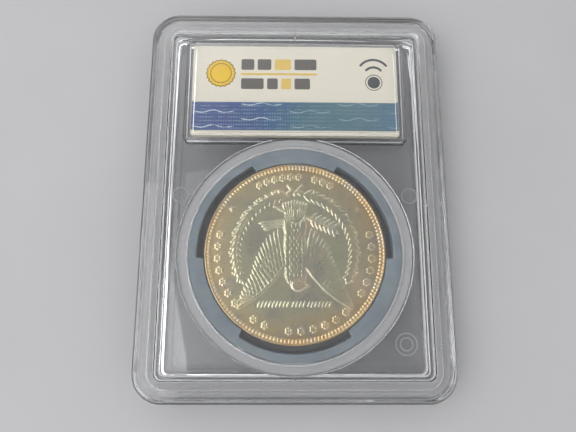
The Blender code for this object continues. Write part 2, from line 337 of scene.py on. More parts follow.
def make_gasket(material):
    """A ring whose inner side steps in at three prongs, with its edges rounded."""
    angles = np.radians(np.arange(0, 360, 0.4))
    off_prong = np.full(len(angles), 180.0)
    for prong in PRONGS:
        turn = np.abs((np.degrees(angles) - prong + 180) % 360 - 180)
        off_prong = np.minimum(off_prong, turn)
    open_share = smooth_step(PRONG_HALF_ANGLE - 0.4, PRONG_HALF_ANGLE + 0.6, off_prong)
    inner = PRONG_RADIUS + (GAP_RADIUS - PRONG_RADIUS) * open_share
    half, ease = GASKET_HALF, 0.22
    outside = fillet((GASKET_RADIUS - ease, half - ease), ease, 0, 90, 4)
    outside = [(r, -z) for r, z in reversed(outside)] + outside
    inside = fillet((0, half - ease), ease, 90, 180, 4)
    inside += [(r, -z) for r, z in reversed(inside)]

    def loop(radii, z):
        xs, ys = COIN_X + radii * np.cos(angles), COIN_Y + radii * np.sin(angles)
        return [(x, y, z) for x, y in zip(xs, ys)]

    loops = [loop(np.full(len(angles), r), z) for r, z in outside]
    loops += [loop(inner + ease + r, z) for r, z in inside]
    return make_object("gasket_ring", loft(loops, True), [material], "gasket", "coin_gasket", 50)


# ---------------------------------------------------------------- coin relief

RELIEF = 0.27
FIELD = COIN_HALF - RELIEF
RIM_RADIUS = 18.62
BEADS = 150
BEAD_RING = (17.75, 18.55)
BORDER_RADIUS = 16.15
WREATH_RADIUS = 12.35
DESIGN_FADE = (17.3, 17.7)
REEDS, REED_DEPTH = 176, 0.09
REVERSE_CELLS, OBVERSE_CELLS = 132, 66


class Relief:
    """Heights above the coin's field at points (u, v), built up one raised shape at a time."""

    def __init__(self, u, v):
        self.u, self.v = u, v
        self.height = np.zeros_like(u)

    def near(self, u, v, reach):
        return np.nonzero((np.abs(self.u - u) < reach) & (np.abs(self.v - v) < reach))[0]

    def lay(self, index, shape, lift=0.0):
        """Lays a shape over what is there. Where its height is positive it covers what lies lower."""
        top = np.where(shape > 0, shape + lift, 0)
        self.height[index] = np.maximum(self.height[index], top)

    def cover(self, index, shape, base):
        """Lays a shape with its own base, replacing what was there, as a feather lies on the last."""
        inside = shape > 0
        self.height[index[inside]] = base + shape[inside]

    def stroke(self, start, end, width, height):
        """A raised bar with round ends and sloped sides."""
        a, b = np.array(start, float), np.array(end, float)
        middle, reach = (a + b) / 2, np.hypot(*(b - a)) / 2 + width
        index = self.near(*middle, reach)
        if not len(index):
            return
        along = b - a
        pu, pv = self.u[index] - a[0], self.v[index] - a[1]
        t = np.clip((pu * along[0] + pv * along[1]) / max(along @ along, 1e-9), 0, 1)
        distance = np.hypot(pu - t * along[0], pv - t * along[1])
        self.lay(index, height * (1 - smooth_step(0.35 * width, 0.62 * width, distance)))

    def leaf(self, base, angle, length, width, height, base_height=0.0, vein=0.3, cover=False):
        """A pointed leaf or feather from its base, with a vein or quill down the middle."""
        du, dv = math.cos(angle), math.sin(angle)
        middle = (base[0] + du * length / 2, base[1] + dv * length / 2)
        index = self.near(*middle, length / 2 + width)
        if not len(index):
            return
        pu, pv = self.u[index] - base[0], self.v[index] - base[1]
        s, t = (pu * du + pv * dv) / length, pv * du - pu * dv
        inside = (s > 0) & (s < 1)
        half = width / 2 * np.sqrt(np.clip(np.sin(math.pi * np.clip(s, 0, 1) ** 0.8), 1e-6, 1))
        across = np.clip(1 - (t / half) ** 2, 0, 1)
        shape = height * across**0.85 * (1 - vein * np.exp(-((t / (0.12 * width)) ** 2)))
        shape = np.where(inside & (np.abs(t) < half), shape, 0)
        if cover:
            self.cover(index, shape, base_height)
        else:
            self.lay(index, shape, base_height)

    def dome(self, centre, size, height, turn=0.0, flatness=2):
        """A rounded oval, with a flatter top and steeper sides where flatness is above 2."""
        index = self.near(*centre, max(size))
        pu, pv = self.u[index] - centre[0], self.v[index] - centre[1]
        c, s = math.cos(turn), math.sin(turn)
        r2 = ((pu * c + pv * s) / size[0]) ** 2 + ((pv * c - pu * s) / size[1]) ** 2
        self.lay(index, height * np.sqrt(np.clip(1 - r2 ** (flatness / 2), 0, 1)))

    def ring(self, centre, radius, width, height):
        index = self.near(*centre, radius + width)
        off = np.abs(np.hypot(self.u[index] - centre[0], self.v[index] - centre[1]) - radius)
        self.lay(index, height * (1 - smooth_step(0.35 * width, 0.62 * width, off)))

    def star(self, centre, radius, height, points=5, turn=math.pi / 2):
        """A faceted star whose arms are ridged."""
        index = self.near(*centre, radius)
        pu, pv = self.u[index] - centre[0], self.v[index] - centre[1]
        r, a = np.hypot(pu, pv), np.arctan2(pv, pu) - turn
        sector = 2 * math.pi / points
        a = np.abs((a + sector / 2) % sector - sector / 2)
        notch = 0.42 * radius
        tip_u, notch_u, notch_v = radius, notch * math.cos(sector / 2), notch * math.sin(sector / 2)
        x, y = r * np.cos(a), r * np.sin(a)
        edge = (tip_u - x) * notch_v - y * (tip_u - notch_u)
        edge = edge / math.hypot(tip_u - notch_u, notch_v)
        self.lay(index, height * np.clip(edge / (0.3 * radius), 0, 1))


def polar(radius, degrees):
    return radius * math.cos(math.radians(degrees)), radius * math.sin(math.radians(degrees))


def rosette(relief, centre):
    """A small flower: six petals round a seed."""
    relief.dome(centre, (0.24, 0.24), 0.15)
    for step in range(6):
        u, v = polar(0.53, 60 * step + 30)
        relief.dome((centre[0] + u, centre[1] + v), (0.29, 0.29), 0.15)


def rosette_border(relief, start, end, groups):
    """Groups of rosettes along the rim, from one angle to another, in degrees."""
    count = sum(groups) + len(groups) - 1
    step, position = (end - start) / (count - 1), 0
    for group in groups:
        for _ in range(group):
            rosette(relief, polar(BORDER_RADIUS, start + step * position))
            position += 1
        position += 1


def wreath(relief):
    """Two laurel branches from a bow at the bottom, each with pairs of leaves and berries."""
    for side in (1, -1):
        first, last, leaves = 9, 112, 17
        turns = [first + (last - first) * step / leaves for step in range(leaves + 1)]
        stem = [polar(WREATH_RADIUS, -90 + side * turn) for turn in turns]
        for a, b in zip(stem, stem[1:]):
            relief.stroke(a, b, 0.26, 0.07)
        for step, (turn, point) in enumerate(zip(turns, stem)):
            forward = math.radians(-90 + side * turn + side * 90)
            size = 1.0 - 0.2 * step / leaves
            for lean in (38, -38, 16, -16):
                reach = (2.5 if abs(lean) < 20 else 2.2) * size
                relief.leaf(point, forward + math.radians(lean), reach, 0.66 * size, 0.17, 0.02, 0.55)
            if step % 3 == 1:
                relief.dome(polar(WREATH_RADIUS + 1.25, -90 + side * (turn + 3)), (0.26, 0.26), 0.16)
        relief.leaf(stem[-1], math.radians(-90 + side * (last + 90)), 2.3, 0.7, 0.18)
    bow = -WREATH_RADIUS
    for side in (1, -1):
        relief.dome((side * 1.1, bow - 0.3), (1.0, 0.55), 0.18, side * 0.45)
        relief.stroke((side * 0.2, bow - 0.4), (side * 1.5, bow - 1.9), 0.45, 0.14)
    relief.dome((0, bow - 0.1), (0.42, 0.5), 0.22)


WING_ARM = [(2.3, 3.0), (4.0, 5.3), (6.2, 7.7), (8.8, 9.8), (11.6, 11.4)]
WING_EDGE = [(3.6, -5.2), (6.6, -2.4), (8.2, 1.2), (9.2, 4.6), (10.9, 7.9), (12.0, 11.0)]


def along(route, share):
    """The point at a share of a route's points, counted evenly from the first to the last."""
    place = share * (len(route) - 1)
    us, vs = zip(*route)
    steps = range(len(route))
    return np.array([np.interp(place, steps, us), np.interp(place, steps, vs)])


def wing(relief, side):
    """A raised wing: long flight feathers, shorter coverts over them, and a rounded leading edge."""
    rows = [
        (18, 1.0, 1.05, 0.13, 0.01),
        (16, 0.70, 0.92, 0.12, 0.05),
        (14, 0.47, 0.82, 0.11, 0.09),
        (12, 0.27, 0.70, 0.10, 0.12),
    ]
    for count, reach, width, height, base in rows:
        for step in range(count, -1, -1):
            share = 0.98 * step / count
            root, end = along(WING_ARM, share * 0.94), along(WING_EDGE, share)
            run = (end - root) * reach
            angle = math.atan2(run[1], side * run[0])
            length = math.hypot(*run)
            relief.leaf((side * root[0], root[1]), angle, length, width, height, base, 0.5, True)
    for a, b in zip(WING_ARM, WING_ARM[1:]):
        relief.stroke((side * a[0], a[1]), (side * b[0], b[1]), 0.62, 0.22)


def bird(relief):
    """A spread-winged bird of a plain heraldic kind: tail, wings, body, thighs and turned head."""
    for step in (-4, 4, -3, 3, -2, 2, -1, 1, 0):
        angle = math.radians(-90 + 5.5 * step)
        relief.leaf((0.22 * step, -6.2), angle, 4.9 - 0.08 * abs(step), 0.95, 0.16, 0.03, 0.4, True)
    for side in (1, -1):
        wing(relief, side)
    relief.dome((0, -0.4), (2.5, 6.0), 0.21, 0.0, 7)
    relief.dome((-0.15, 4.6), (2.25, 2.6), 0.22, 0.15, 6)
    relief.dome((-0.7, 6.9), (1.55, 1.25), 0.24, 0.2, 5)
    rows = 15
    for row in range(rows):
        v = 5.6 - row * 0.78
        spread = 2.1 * math.sqrt(max(1 - ((v - 0.2) / 6.8) ** 4, 0.05))
        count = 5 if row % 2 else 4
        for step in range(count):
            u = (step - (count - 1) / 2) * 2 * spread / count
            lean = math.radians(-90) + 0.12 * u
            relief.leaf((u, v + 0.55), lean, 1.45, 0.8, 0.13, 0.15, 0.4, True)
    for side in (1, -1):
        relief.dome((side * 1.55, -4.9), (0.85, 2.2), 0.27, side * 0.16, 3)
        for step in range(3):
            relief.stroke((side * (1.25 + 0.3 * step), -3.4), (side * (1.2 + 0.25 * step), -6.4), 0.2, 0.30)
    relief.leaf((-1.7, 7.25), math.radians(190), 1.35, 0.72, 0.24, vein=0.0)
    relief.dome((-1.15, 7.2), (0.24, 0.24), 0.34)
    for step in range(7):
        place = (-1.3 + 0.42 * step, 6.6 - 0.35 * (step % 2))
        relief.leaf(place, math.radians(-96 + 4 * step), 1.5, 0.42, 0.05, 0.24, 0.5)


def held_things(relief):
    """A leafy sprig held to the left and three darts held to the right."""
    sprig = [(4.4, -9.7), (2.2, -8.6), (-0.4, -7.8), (-3.4, -6.9), (-6.0, -6.1), (-8.2, -4.9)]
    for share in (0.0, 0.2, 0.4, 0.6, 0.8, 1.0):
        u, v = -3.4 - 4.6 * share, -6.9 + 1.9 * share
        for lean in (112, 150, 225):
            relief.leaf((u, v), math.radians(lean - 10 * share), 1.9, 0.6, 0.17, 0.02, 0.5)
    for step in range(3):
        low = -6.9 + 0.62 * step
        relief.stroke((-2.0, low - 0.5), (6.2, low + 0.75), 0.3, 0.17)
        relief.leaf((6.0 - 0.5 * step, low + 0.7), math.radians(8), 1.6, 0.7, 0.19, 0.0, 0.2)
    for a, b in zip(sprig, sprig[1:]):
        relief.stroke(a, b, 0.42, 0.24)
    for side in (1, -1):
        for step in range(3):
            place = (side * (1.1 + 0.5 * step), -6.4)
            relief.stroke(place, (place[0] - side * 0.15, -7.9), 0.4, 0.28)


def grain_rows(relief):
    """Three rows of leaning grains between the wings, above the head."""
    middle, reach, lean = 10.75, 1.35, math.radians(66)
    for start, end in ((-7.3, -2.9), (-1.9, 0.3), (1.4, 7.4)):
        count = round((end - start) / 0.72)
        for step in range(count + 1):
            u = start + (end - start) * step / count
            foot = (u - reach / 2 * math.cos(lean), middle - reach / 2 * math.sin(lean))
            relief.leaf(foot, lean, reach, 0.46, 0.13, vein=0.0)


def rim_height(radius, angle):
    """The raised rim with the ring of beads inside it, above the field."""
    rise = COIN_HALF - FIELD
    bead_middle, bead_half = sum(BEAD_RING) / 2, (BEAD_RING[1] - BEAD_RING[0]) / 2
    around = np.cos(angle * BEADS)
    bead = np.clip(1 - ((radius - bead_middle) / bead_half) ** 2, 0, 1) ** 0.5
    bead = bead * (0.25 + 0.75 * smooth_step(-0.55, 0.6, around)) * rise * 0.86
    rim = rise * smooth_step(RIM_RADIUS - 0.16, RIM_RADIUS + 0.04, radius)
    fall = 0.14 * smooth_step(COIN_RADIUS - 0.2, COIN_RADIUS, radius)
    return np.maximum(bead, rim) - fall


def reverse_height(u, v):
    relief = Relief(u, v)
    wreath(relief)
    held_things(relief)
    bird(relief)
    grain_rows(relief)
    rosette_border(relief, 193, -13, (6, 6, 2, 7))
    rosette_border(relief, -118, -62, (3, 6))
    for degrees in (-34, -146):
        relief.star(polar(BORDER_RADIUS, degrees), 0.95, 0.14, 6)
    return relief.height


def obverse_height(u, v):
    """A plain generic face: a large star with rays between two branches, and stars round the rim."""
    relief = Relief(u, v)
    wreath(relief)
    relief.star((0, 0), 7.6, 0.2, 8)
    relief.ring((0, 0), 8.6, 0.45, 0.12)
    for step in range(40):
        degrees = 360 * (step + 0.5) / 40
        relief.stroke(polar(9.2, degrees), polar(10.4, degrees), 0.3, 0.1)
    for step in range(26):
        relief.star(polar(BORDER_RADIUS, 360 * step / 26), 0.95, 0.14, 5)
    return relief.height


def disc_rings(half_cells, radius):
    """Rings of points filling a disc: ring k has 8k points, so that cells stay nearly square."""
    rings = [np.zeros((1, 2))]
    for k in range(1, half_cells + 1):
        turns = 2 * math.pi * np.arange(8 * k) / (8 * k)
        r = radius * k / half_cells
        rings.append(np.column_stack([r * np.cos(turns), r * np.sin(turns)]))
    return rings


def ring_faces(inner_start, inner_count, outer_start, outer_count):
    """Faces between two rings of points whose counts differ: quads, with a triangle where one is left."""
    faces, i, j = [], 0, 0
    inner_end = inner_count if inner_count > 1 else 0
    while i < inner_end or j < outer_count:
        next_inner, next_outer = (i + 1) / max(inner_count, 1), (j + 1) / outer_count
        a, b = inner_start + i % inner_count, outer_start + j % outer_count
        a2, b2 = inner_start + (i + 1) % inner_count, outer_start + (j + 1) % outer_count
        level = abs(next_inner - next_outer) < 0.5 / max(inner_count, outer_count)
        if level and inner_count > 1:
            faces.append((a, b, b2, a2))
            i, j = i + 1, j + 1
        elif next_outer < next_inner or inner_count == 1:
            faces.append((a, b, b2))
            j += 1
        else:
            faces.append((a, b, a2))
            i += 1
    return faces


def coin_face(half_cells, height_of, side):
    """Points and faces of one face of the coin, with the start of its outermost ring."""
    rings = disc_rings(half_cells, COIN_RADIUS)
    flat = np.vstack(rings)
    x, y = flat[:, 0], flat[:, 1]
    radius, angle = np.hypot(x, y), np.arctan2(y, x)
    design = np.minimum(height_of(-side * x, -y), RELIEF)
    design = design * (1 - smooth_step(*DESIGN_FADE, radius))
    z = side * (FIELD + np.maximum(design, rim_height(radius, angle)))
    starts = np.cumsum([0] + [len(ring) for ring in rings])
    faces = []
    for k in range(half_cells):
        inner = 1 if k == 0 else 8 * k
        faces += ring_faces(int(starts[k]), inner, int(starts[k + 1]), 8 * (k + 1))
    points = np.column_stack([x + COIN_X, y + COIN_Y, z])
    return points, faces, int(starts[half_cells])


def make_coin(material):
    """The coin's two faces and its reeded edge, as one mesh."""
    top, top_faces, top_edge = coin_face(REVERSE_CELLS, reverse_height, 1)
    bottom, bottom_faces, bottom_edge = coin_face(OBVERSE_CELLS, obverse_height, -1)
    edge_count = 8 * REVERSE_CELLS
    points, faces = [*top], list(top_faces)

    angles = 2 * math.pi * np.arange(edge_count) / edge_count
    radii = COIN_RADIUS - REED_DEPTH * (0.5 + 0.5 * np.cos(angles * REEDS))
    xs, ys = COIN_X + radii * np.cos(angles), COIN_Y + radii * np.sin(angles)
    previous = top_edge
    for z in (COIN_HALF - 0.3, 0.3 - COIN_HALF):
        ring = np.column_stack([xs, ys, np.full(edge_count, z)])
        start = len(points)
        points += [*ring]
        faces += ring_faces(previous, edge_count, start, edge_count)
        previous = start
    offset = len(points)
    points += [*bottom]
    faces += ring_faces(offset + bottom_edge, 8 * OBVERSE_CELLS, previous, edge_count)
    faces += [tuple(offset + i for i in face) for face in bottom_faces]

    draft = bpy.data.meshes.new("draft")
    draft.from_pydata(np.array(points).tolist(), [], faces)
    builder = bmesh.new()
    builder.from_mesh(draft)
    bpy.data.meshes.remove(draft)
    return make_object("coin_struck", builder, [material], "coin_silver", "coin", 180)


# ---------------------------------------------------------------- materials


class Nodes:
    """A material's node tree, with short calls for the nodes that these materials use."""

    def __init__(self, name):
        self.material = bpy.data.materials.new(name)
        self.material.use_nodes = True
        self.tree = self.material.node_tree
        self.shader = self.tree.nodes["Principled BSDF"]

    def set(self, **values):
        for key, value in values.items():
            self.shader.inputs[key.replace("_", " ")].default_value = value

    def link(self, source, target):
        self.tree.links.new(source, target)

    def feed(self, node, index, value):
        if isinstance(value, (int, float)):
            node.inputs[index].default_value = value
        else:
            self.link(value, node.inputs[index])

    def position(self):
        """Object coordinates, split, in millimetres: x, y, z from the slab's middle and its base."""
        coordinates = self.tree.nodes.new("ShaderNodeTexCoord")
        scaled = self.tree.nodes.new("ShaderNodeVectorMath")
        scaled.operation = "SCALE"
        scaled.inputs["Scale"].default_value = M_TO_MM
        self.link(coordinates.outputs["Object"], scaled.inputs[0])
        split = self.tree.nodes.new("ShaderNodeSeparateXYZ")
        self.link(scaled.outputs[0], split.inputs[0])
        return scaled.outputs[0], split.outputs[0], split.outputs[1], split.outputs[2]

    def math(self, operation, first, second=0.0, third=None):
        node = self.tree.nodes.new("ShaderNodeMath")
        node.operation = operation
        self.feed(node, 0, first)
        self.feed(node, 1, second)
        if third is not None:
            self.feed(node, 2, third)
        return node.outputs[0]

    def from_coin(self, x, y):
        """Distance and direction from the coin's middle."""
        dx, dy = self.math("SUBTRACT", x, COIN_X), self.math("SUBTRACT", y, COIN_Y)
        squares = self.math("MULTIPLY_ADD", dx, dx, self.math("MULTIPLY", dy, dy))
        return self.math("SQRT", squares), self.math("ARCTAN2", dy, dx)

    def combine(self, x, y, z=0.0):
        node = self.tree.nodes.new("ShaderNodeCombineXYZ")
        for index, value in enumerate((x, y, z)):
            self.feed(node, index, value)
        return node.outputs[0]

    def noise(self, vector, scale, detail=3.0, roughness=0.5):
        node = self.tree.nodes.new("ShaderNodeTexNoise")
        node.inputs["Scale"].default_value = scale
        node.inputs["Detail"].default_value = detail
        node.inputs["Roughness"].default_value = roughness
        self.link(vector, node.inputs["Vector"])
        return node.outputs["Fac"]

    def ramp(self, value, stops, interpolation="LINEAR"):
        node = self.tree.nodes.new("ShaderNodeValToRGB")
        node.color_ramp.interpolation = interpolation
        elements = node.color_ramp.elements
        while len(elements) < len(stops):
            elements.new(0.5)
        for element, (place, colour) in zip(elements, stops):
            element.position = place
            element.color = (*colour, 1.0)
        self.link(value, node.inputs["Fac"])
        return node.outputs["Color"]

    def range(self, value, low, high, new_low, new_high):
        node = self.tree.nodes.new("ShaderNodeMapRange")
        for index, number in enumerate((low, high, new_low, new_high), 1):
            node.inputs[index].default_value = number
        self.link(value, node.inputs[0])
        return node.outputs[0]

    def mix(self, share, first, second):
        node = self.tree.nodes.new("ShaderNodeMix")
        node.data_type = "RGBA"
        for index, value in ((0, share), (6, first), (7, second)):
            if isinstance(value, tuple):
                node.inputs[index].default_value = (*value, 1.0)
            else:
                self.feed(node, index, value)
        return node.outputs[2]

    def bump(self, height, strength, distance=0.0001):
        node = self.tree.nodes.new("ShaderNodeBump")
        node.inputs["Strength"].default_value = strength
        node.inputs["Distance"].default_value = distance
        self.link(height, node.inputs["Height"])
        self.link(node.outputs["Normal"], self.shader.inputs["Normal"])

    def colour(self, value):
        self.link(value, self.shader.inputs["Base Color"])

    def roughness(self, value):
        self.link(value, self.shader.inputs["Roughness"])


def clear_plastic():
    """Clear polystyrene: polished, with the faintest handling haze."""
    nodes = Nodes("clear_polystyrene")
    nodes.set(Base_Color=(0.985, 0.99, 0.995, 1), IOR=1.55, Transmission_Weight=1.0)
    vector, *_ = nodes.position()
    haze = nodes.noise(vector, 0.35, 4.0)
    nodes.roughness(nodes.range(haze, 0.45, 0.75, 0.0, 0.03))
    return nodes.material


def frosted_plastic(name, shade, streaks):
    """The same plastic where the weld melted it or the mould's texture shows."""
    nodes = Nodes(name)
    nodes.set(Base_Color=(shade, shade, shade * 1.01, 1), IOR=1.55, Transmission_Weight=0.6)
    vector, x, y, _ = nodes.position()
    grain = nodes.noise(vector, 3.0, 4.0, 0.6)
    if streaks:
        radius, angle = nodes.from_coin(x, y)
        out, around = nodes.math("MULTIPLY", radius, 3.0), nodes.math("MULTIPLY", angle, 5.0)
        grain = nodes.noise(nodes.combine(out, around), 1.0, 3.0)
    nodes.roughness(nodes.range(grain, 0.35, 0.7, 0.35, 0.6))
    nodes.bump(grain, 0.5, 0.0003)
    return nodes.material


def gasket_material():
    """Milky blue-grey ring: soft, translucent, with a slight mottle."""
    nodes = Nodes("milky_gasket")
    nodes.set(Subsurface_Weight=0.25, Subsurface_Scale=0.0015, IOR=1.45)
    vector, *_ = nodes.position()
    mottle = nodes.noise(vector, 0.22, 3.0)
    nodes.colour(nodes.ramp(mottle, [(0.3, (0.20, 0.25, 0.285)), (0.7, (0.27, 0.32, 0.35))]))
    nodes.roughness(nodes.range(mottle, 0.3, 0.7, 0.34, 0.5))
    nodes.bump(nodes.noise(vector, 6.0, 2.0), 0.12)
    return nodes.material


def silver():
    """Struck silver with mint lustre: fine radial flow lines, and warm toning near the rim."""
    nodes = Nodes("toned_silver")
    nodes.set(Metallic=1.0)
    vector, x, y, _ = nodes.position()
    radius, angle = nodes.from_coin(x, y)
    clouds = nodes.noise(vector, 0.11, 4.0)
    edge = nodes.math("MULTIPLY_ADD", clouds, 9.0, radius)
    tone = nodes.range(edge, 16.0, 24.0, 0.0, 1.0)
    stops = [
        (0.0, (0.43, 0.41, 0.285)),
        (0.35, (0.46, 0.41, 0.265)),
        (0.65, (0.485, 0.395, 0.235)),
        (1.0, (0.45, 0.31, 0.155)),
    ]
    toned = nodes.ramp(tone, stops)
    steel = nodes.range(nodes.noise(vector, 0.17, 3.0), 0.5, 0.66, 0.0, 0.7)
    toned = nodes.mix(steel, toned, (0.34, 0.325, 0.27))
    blush = nodes.range(nodes.noise(nodes.combine(y, x), 0.13, 2.0), 0.56, 0.68, 0.0, 0.55)
    nodes.colour(nodes.mix(blush, toned, (0.62, 0.49, 0.33)))
    around, out = nodes.math("MULTIPLY", angle, 90.0), nodes.math("MULTIPLY", radius, 0.7)
    streaks = nodes.noise(nodes.combine(around, out), 1.0, 2.0)
    nodes.roughness(nodes.range(streaks, 0.3, 0.7, 0.27, 0.33))
    nodes.bump(streaks, 0.004, 0.0002)
    return nodes.material


def card_material():
    """Warm white printed card with a faint fibre."""
    nodes = Nodes("label_card")
    vector, *_ = nodes.position()
    fibre = nodes.noise(vector, 2.5, 5.0, 0.65)
    stops = [(0.3, (0.90, 0.84, 0.70)), (0.7, (0.95, 0.89, 0.76))]
    nodes.colour(nodes.ramp(fibre, stops))
    nodes.set(Roughness=0.55)
    nodes.bump(fibre, 0.08)
    return nodes.material


def ink(name, dark, light, roughness=0.4, metallic=0.0):
    """Printed ink, a little uneven."""
    nodes = Nodes(name)
    vector, *_ = nodes.position()
    grain = nodes.noise(vector, 1.8, 4.0, 0.6)
    nodes.colour(nodes.ramp(grain, [(0.3, dark), (0.7, light)]))
    nodes.set(Roughness=roughness, Metallic=metallic, Specular_IOR_Level=0.2)
    nodes.bump(grain, 0.05)
    return nodes.material


WAVE_TILE, WAVE_PITCH, DASH_PITCH = 10.8, 3.5, 0.875


def security_foil():
    """Foil that runs from indigo to teal, with fine pale waves in staggered tiles."""
    nodes = Nodes("security_foil")
    vector, x, y, _ = nodes.position()
    across = nodes.range(x, CARD_LOW.x, CARD_HIGH.x, 0.0, 1.0)
    clouds = nodes.noise(vector, 0.25, 3.0)
    place = nodes.math("MULTIPLY_ADD", nodes.math("SUBTRACT", clouds, 0.5), 0.3, across)
    stops = [
        (0.0, (0.042, 0.085, 0.27)),
        (0.2, (0.04, 0.085, 0.27)),
        (0.36, (0.03, 0.12, 0.28)),
        (0.55, (0.065, 0.19, 0.25)),
        (0.82, (0.10, 0.22, 0.265)),
        (1.0, (0.085, 0.20, 0.30)),
    ]
    base = nodes.ramp(place, stops)

    column = nodes.math("DIVIDE", nodes.math("SUBTRACT", x, CARD_LOW.x), WAVE_TILE)
    stagger = nodes.math("MODULO", nodes.math("FLOOR", column), 2.0)
    from_crest = nodes.math("SUBTRACT", nodes.math("FRACT", column), 0.45)
    off_crest = nodes.math("ABSOLUTE", from_crest)
    squared = nodes.math("MULTIPLY", off_crest, off_crest)
    swell = nodes.math("SUBTRACT", 1.0, nodes.math("MULTIPLY", squared, 4.4))
    wave = nodes.math("COSINE", nodes.math("MULTIPLY", from_crest, 2 * math.pi * 1.9))
    wave = nodes.math("MULTIPLY", nodes.math("MULTIPLY", wave, swell), 0.32)
    level = nodes.math("MULTIPLY_ADD", stagger, WAVE_PITCH / 2, nodes.math("SUBTRACT", y, wave))
    row = nodes.math("FRACT", nodes.math("DIVIDE", level, WAVE_PITCH))
    off_row = nodes.math("ABSOLUTE", nodes.math("SUBTRACT", row, 0.5))
    off_line = nodes.math("MULTIPLY", off_row, WAVE_PITCH)
    line = nodes.range(off_line, 0.06, 0.16, 1.0, 0.0)
    ends = nodes.range(off_crest, 0.38, 0.44, 1.0, 0.0)
    breaks = nodes.range(nodes.noise(vector, 0.9, 2.0), 0.38, 0.52, 0.35, 1.0)
    line = nodes.math("MULTIPLY", nodes.math("MULTIPLY", line, ends), breaks)
    line = nodes.math("MULTIPLY", line, nodes.range(across, 0.35, 0.6, 1.0, 0.45))

    flat_row = nodes.math("FRACT", nodes.math("DIVIDE", y, DASH_PITCH))
    off_dash = nodes.math("ABSOLUTE", nodes.math("SUBTRACT", flat_row, 0.5))
    dash_row = nodes.range(off_dash, 0.16, 0.26, 1.0, 0.0)
    dashes = nodes.range(nodes.math("SINE", nodes.math("MULTIPLY", x, 11.0)), -0.4, 0.2, 0.0, 1.0)
    patches = nodes.range(nodes.noise(vector, 0.5, 2.0), 0.38, 0.54, 0.04, 0.32)
    dashes = nodes.math("MULTIPLY", nodes.math("MULTIPLY", dash_row, dashes), patches)
    dashes = nodes.math("MULTIPLY", dashes, nodes.range(across, 0.4, 0.7, 1.0, 0.4))
    line = nodes.math("MAXIMUM", line, dashes)
    nodes.colour(nodes.mix(line, base, (0.66, 0.78, 0.82)))
    nodes.set(Roughness=0.38, Metallic=0.25)
    nodes.bump(line, 0.1)
    return nodes.material


def floor_material():
    nodes = Nodes("pale_floor")
    vector, *_ = nodes.position()
    soft = nodes.noise(vector, 0.02, 3.0)
    nodes.colour(nodes.ramp(soft, [(0.3, (0.305, 0.305, 0.31)), (0.7, (0.325, 0.325, 0.33))]))
    nodes.set(Roughness=0.7)
    return nodes.material


# ---------------------------------------------------------------- label

PRINT_LIFT, PRINT_THICKNESS = 0.01, 0.015


def plate(name, outline, foot, top, materials, slot, replaced=None):
    loops = [[(x, y, z) for x, y in outline] for z in (foot, top)]
    return make_object(name, loft(loops), materials, slot, replaced)


def print_foot(side, layer):
    """Where ink starts above the outer face of a card. A later layer lies on an earlier one."""
    face = box_mm("label_rear_card")[1].z if side > 0 else box_mm("label_front_card")[0].z
    return face - SEAM_Z + side * (PRINT_LIFT + layer * (PRINT_THICKNESS + PRINT_LIFT))


def printed(name, outline, material, side=1, layer=0):
    """Thin ink in the shape of an outline."""
    foot = print_foot(side, layer)
    low, high = sorted((foot, foot + side * PRINT_THICKNESS))
    return plate(name, outline, low, high, [material], "label_card")


def flat_box(x0, x1, y0, y1, corner):
    loop = rounded_rectangle(x1 - x0, y1 - y0, corner, 0, ((x0 + x1) / 2, (y0 + y1) / 2), 6)
    return [(x, y) for x, y, _ in loop]


def flat_arc(centre, radius, width, start, end, steps=32):
    """A round-ended band along an arc."""

    def point(r, degrees):
        a = math.radians(degrees)
        return centre[0] + r * math.cos(a), centre[1] + r * math.sin(a)

    def cap(degrees, sign, shares):
        a = math.radians(degrees)
        for share in shares:
            across = math.radians(180 * share)
            push = sign * width / 2 * math.sin(across)
            x, y = point(radius + width / 2 * math.cos(across), degrees)
            yield x - push * math.sin(a), y + push * math.cos(a)

    turns = [start + (end - start) * step / steps for step in range(steps + 1)]
    shares = [step / 8 for step in range(1, 8)]
    outline = [point(radius + width / 2, turn) for turn in turns]
    outline += cap(end, 1, shares)
    outline += [point(radius - width / 2, turn) for turn in reversed(turns)]
    outline += cap(start, -1, shares[::-1])
    return outline


def scalloped(centre, radius, depth, waves):
    turns = [2 * math.pi * step / (waves * 12) for step in range(waves * 12)]
    radii = [radius + depth * math.cos(waves * a) for a in turns]
    pairs = zip(radii, turns)
    return [(centre[0] + r * math.cos(a), centre[1] + r * math.sin(a)) for r, a in pairs]


def ring_print(name, centre, radius, width, material, layer):
    """A thin ring of ink on the rear card."""
    foot, half = print_foot(1, layer), width / 2
    section = [(radius + half, foot), (radius + half, foot + PRINT_THICKNESS)]
    section += [(radius - half, foot + PRINT_THICKNESS), (radius - half, foot)]
    loops = [circle(r, z, centre, 96) for r, z in section]
    return make_object(name, loft(loops, True), [material], "label_card")


